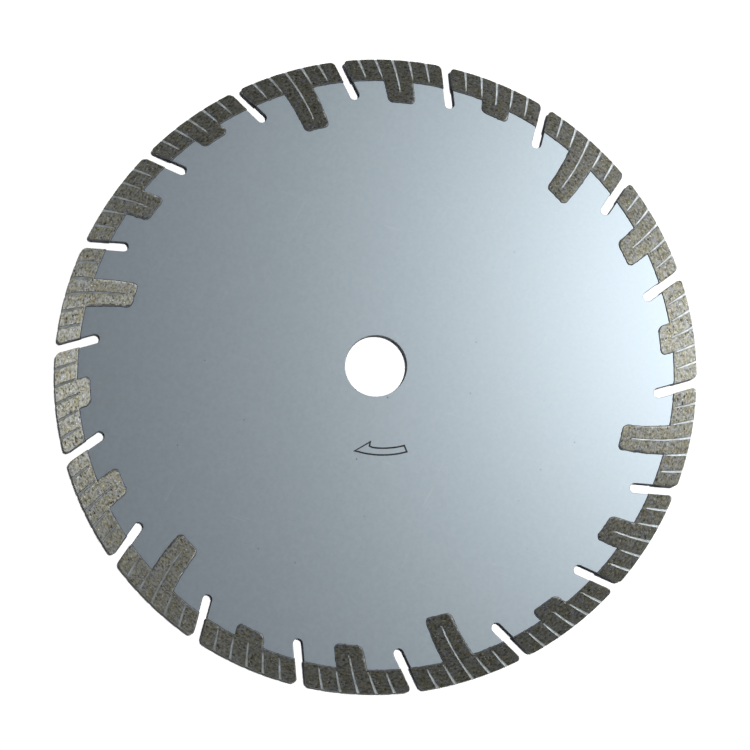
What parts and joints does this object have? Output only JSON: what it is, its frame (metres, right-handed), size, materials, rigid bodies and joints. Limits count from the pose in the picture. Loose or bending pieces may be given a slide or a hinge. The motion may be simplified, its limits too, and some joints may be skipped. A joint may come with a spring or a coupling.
{
  "type": "diamond blade",
  "caption": "Flat steel cutting disc with a plain arbor bore, slanted cooling slots and a rim of grooved diamond segments with staggered undercut teeth.",
  "frame": {"origin": "centre of the arbor bore at half the blade's thickness", "axes": "+Z along the spin axis out of the front face, which shows the slots leaning clockwise inward; +Y points midway up the rim beside a medium tooth and +X to its right seen from the front"},
  "size_m": [0.23, 0.23, 0.0028],
  "materials": {
    "painted_steel": "satin silver paint over tempered sheet steel, fine metallic mottle",
    "sintered_matrix": "ground sintered metal matrix with diamond grit, brown-grey, ground along the rim"
  },
  "bodies": {
    "root": {"steel_core": "painted_steel", "segment_01_medium": "sintered_matrix", "segment_02_short": "sintered_matrix", "segment_03_long": "sintered_matrix", "segment_04_medium": "sintered_matrix", "segment_05_short": "sintered_matrix", "segment_06_long": "sintered_matrix", "segment_07_medium": "sintered_matrix", "segment_08_short": "sintered_matrix", "segment_09_long": "sintered_matrix", "segment_10_medium": "sintered_matrix", "segment_11_short": "sintered_matrix", "segment_12_long": "sintered_matrix", "segment_13_medium": "sintered_matrix", "segment_14_short": "sintered_matrix", "segment_15_long": "sintered_matrix", "segment_16_medium": "sintered_matrix", "segment_17_short": "sintered_matrix", "segment_18_long": "sintered_matrix"}
  },
  "joints": []
}
